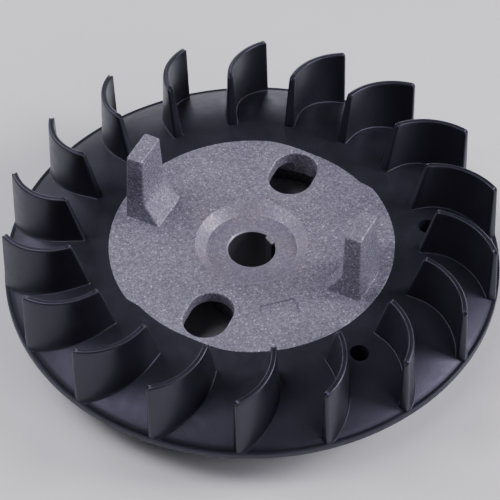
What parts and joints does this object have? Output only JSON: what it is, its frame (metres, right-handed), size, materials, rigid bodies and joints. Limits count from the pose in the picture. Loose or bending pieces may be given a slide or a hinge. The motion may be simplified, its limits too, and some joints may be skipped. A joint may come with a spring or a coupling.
{
  "type": "flywheel",
  "caption": "Flywheel for a small air-cooled engine: cast hub and rim with starter lugs and a moulded fan ring of swept blades.",
  "frame": {"origin": "centre of the rim's lower edge, on the spin axis, at the lowest plane", "axes": "+Z along the spin axis, towards the starter lugs and the nut seat"},
  "size_m": [0.176, 0.176, 0.0557],
  "materials": {
    "cast_aluminium": "die-cast, fine bright speckle, satin",
    "fan_plastic": "black moulded plastic, satin",
    "black_steel": "black phosphate",
    "laminated_steel": "stacked laminations, ground face",
    "alnico": "cast magnet alloy, dull",
    "counterweight_iron": "machined face, dull",
    "plated_steel": "zinc plated"
  },
  "bodies": {
    "root": {"hub_casting": "cast_aluminium", "fan_backplate": "fan_plastic", "fan_blade_01": "fan_plastic", "fan_blade_02": "fan_plastic", "fan_blade_03": "fan_plastic", "fan_blade_04": "fan_plastic", "fan_blade_05": "fan_plastic", "fan_blade_06": "fan_plastic", "fan_blade_07": "fan_plastic", "fan_blade_08": "fan_plastic", "fan_blade_09": "fan_plastic", "fan_blade_10": "fan_plastic", "fan_blade_11": "fan_plastic", "fan_blade_12": "fan_plastic", "fan_blade_13": "fan_plastic", "fan_blade_14": "fan_plastic", "fan_blade_15": "fan_plastic", "fan_blade_16": "fan_plastic", "fan_blade_17": "fan_plastic", "fan_blade_18": "fan_plastic", "fan_screw_1": "black_steel", "fan_screw_2": "black_steel", "fan_screw_3": "black_steel", "fan_screw_4": "black_steel", "pole_shoe_leading": "laminated_steel", "pole_shoe_trailing": "laminated_steel", "ignition_magnet": "alnico", "counterweight": "counterweight_iron", "pole_shoe_screw_1": "plated_steel", "pole_shoe_screw_2": "plated_steel", "counterweight_screw_1": "plated_steel", "counterweight_screw_2": "plated_steel"}
  },
  "joints": []
}
